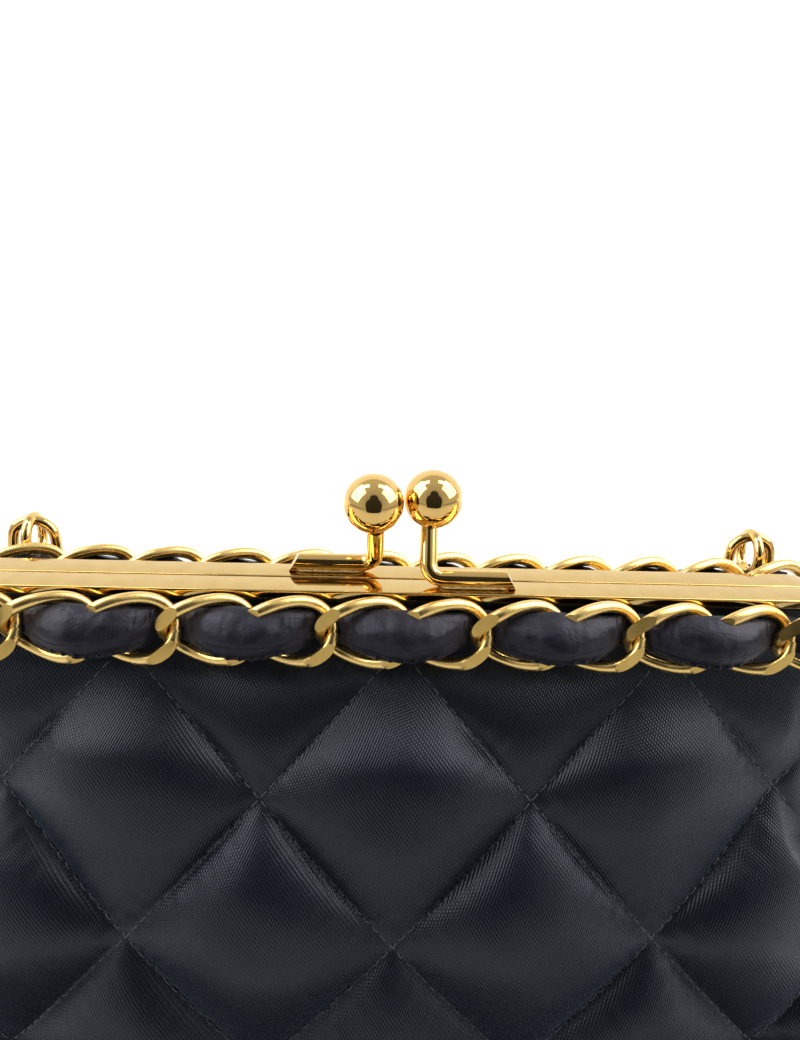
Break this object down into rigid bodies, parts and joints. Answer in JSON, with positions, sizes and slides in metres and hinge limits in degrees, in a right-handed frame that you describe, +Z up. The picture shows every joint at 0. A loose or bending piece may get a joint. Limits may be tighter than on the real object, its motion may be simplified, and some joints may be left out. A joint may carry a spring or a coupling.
{
  "type": "clutch purse",
  "caption": "Small framed evening clutch with a two-ball kiss-lock clasp, quilted satin body, leather-threaded chain trim and a short chain handle.",
  "frame": {"origin": "middle of the base's underside, on the surface that the purse stands on", "axes": "+X along the frame to the wearer's right as seen from the front, +Y towards the back, +Z up; the front faces -Y"},
  "size_m": [0.17, 0.0583, 0.1302],
  "materials": {
    "gold_metal": "polished pale-gold plating",
    "quilted_satin": "black satin, diamond quilted over wadding",
    "lambskin": "soft matte black lambskin",
    "lining": "dark grosgrain lining",
    "stiffener": "pressed board"
  },
  "bodies": {
    "rear_half": {"frame_rear": "gold_metal", "hinge_pin_left": "gold_metal", "hinge_pin_right": "gold_metal", "clasp_stem_rear": "gold_metal", "clasp_ball_rear": "gold_metal", "rear_panel": "quilted_satin", "front_panel": "quilted_satin", "gusset_left": "quilted_satin", "gusset_right": "quilted_satin", "base_panel": "quilted_satin", "base_board": "stiffener", "lining_rear": "lining", "lining_front": "lining", "inner_pocket": "lining", "chain_link_rear_01": "gold_metal", "chain_link_rear_02": "gold_metal", "chain_link_rear_03": "gold_metal", "chain_link_rear_04": "gold_metal", "chain_link_rear_05": "gold_metal", "chain_link_rear_06": "gold_metal", "chain_link_rear_07": "gold_metal", "chain_link_rear_08": "gold_metal", "chain_link_rear_09": "gold_metal", "chain_link_rear_10": "gold_metal", "chain_link_rear_11": "gold_metal", "chain_link_rear_12": "gold_metal", "leather_weave_rear": "lambskin", "handle_bracket_left": "gold_metal", "handle_bracket_right": "gold_metal"},
    "front_half": {"frame_front": "gold_metal", "clasp_stem_front": "gold_metal", "clasp_ball_front": "gold_metal", "front_yoke": "quilted_satin", "chain_link_front_01": "gold_metal", "chain_link_front_02": "gold_metal", "chain_link_front_03": "gold_metal", "chain_link_front_04": "gold_metal", "chain_link_front_05": "gold_metal", "chain_link_front_06": "gold_metal", "chain_link_front_07": "gold_metal", "chain_link_front_08": "gold_metal", "chain_link_front_09": "gold_metal", "chain_link_front_10": "gold_metal", "chain_link_front_11": "gold_metal", "chain_link_front_12": "gold_metal", "leather_weave_front": "lambskin"},
    "handle": {"handle_ring_left": "gold_metal", "handle_ring_right": "gold_metal", "handle_strap": "lambskin"}
  },
  "joints": [
    {"name": "frame_open", "type": "hinge", "parent": "rear_half", "child": "front_half", "pos_m": [0, 0, 0.073], "axis": [1, 0, 0], "range_deg": [0, 60], "deforming": ["front_yoke"]},
    {"name": "handle_swing", "type": "hinge", "parent": "rear_half", "child": "handle", "pos_m": [0, 0.0155, 0.1148], "axis": [1, 0, 0], "range_deg": [0, 165]}
  ]
}
